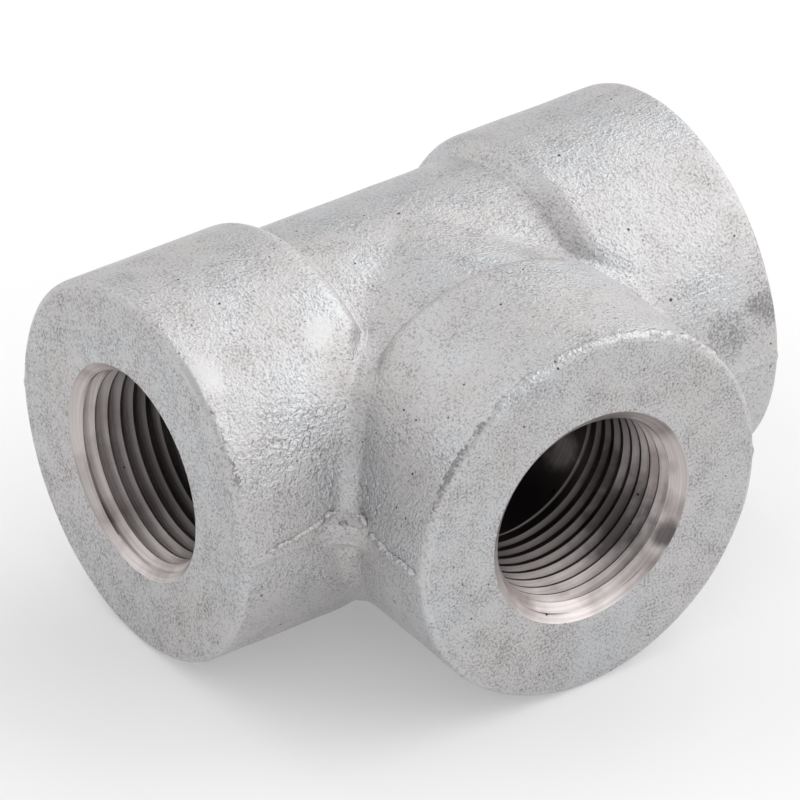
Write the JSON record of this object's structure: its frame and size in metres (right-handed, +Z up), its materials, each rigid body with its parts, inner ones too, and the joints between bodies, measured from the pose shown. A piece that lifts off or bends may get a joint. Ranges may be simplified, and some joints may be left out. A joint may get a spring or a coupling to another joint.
{
  "type": "threaded equal tee",
  "caption": "Forged steel pipe tee, hot-dip galvanised, with thick bands at its ends and equal tapered threaded bores that meet inside.",
  "frame": {"origin": "on the ground under the middle of the tee's box, with the tee lying flat on its three bands", "axes": "+X along the run, -Y the way the branch points, +Z up"},
  "size_m": [0.076, 0.0618, 0.047],
  "materials": {
    "galvanised_steel": "hot-dip galvanised forging, matt silver grey with a fine orange-peel grain, its bores machined bare"
  },
  "bodies": {
    "root": {"tee_body": "galvanised_steel"}
  },
  "joints": []
}
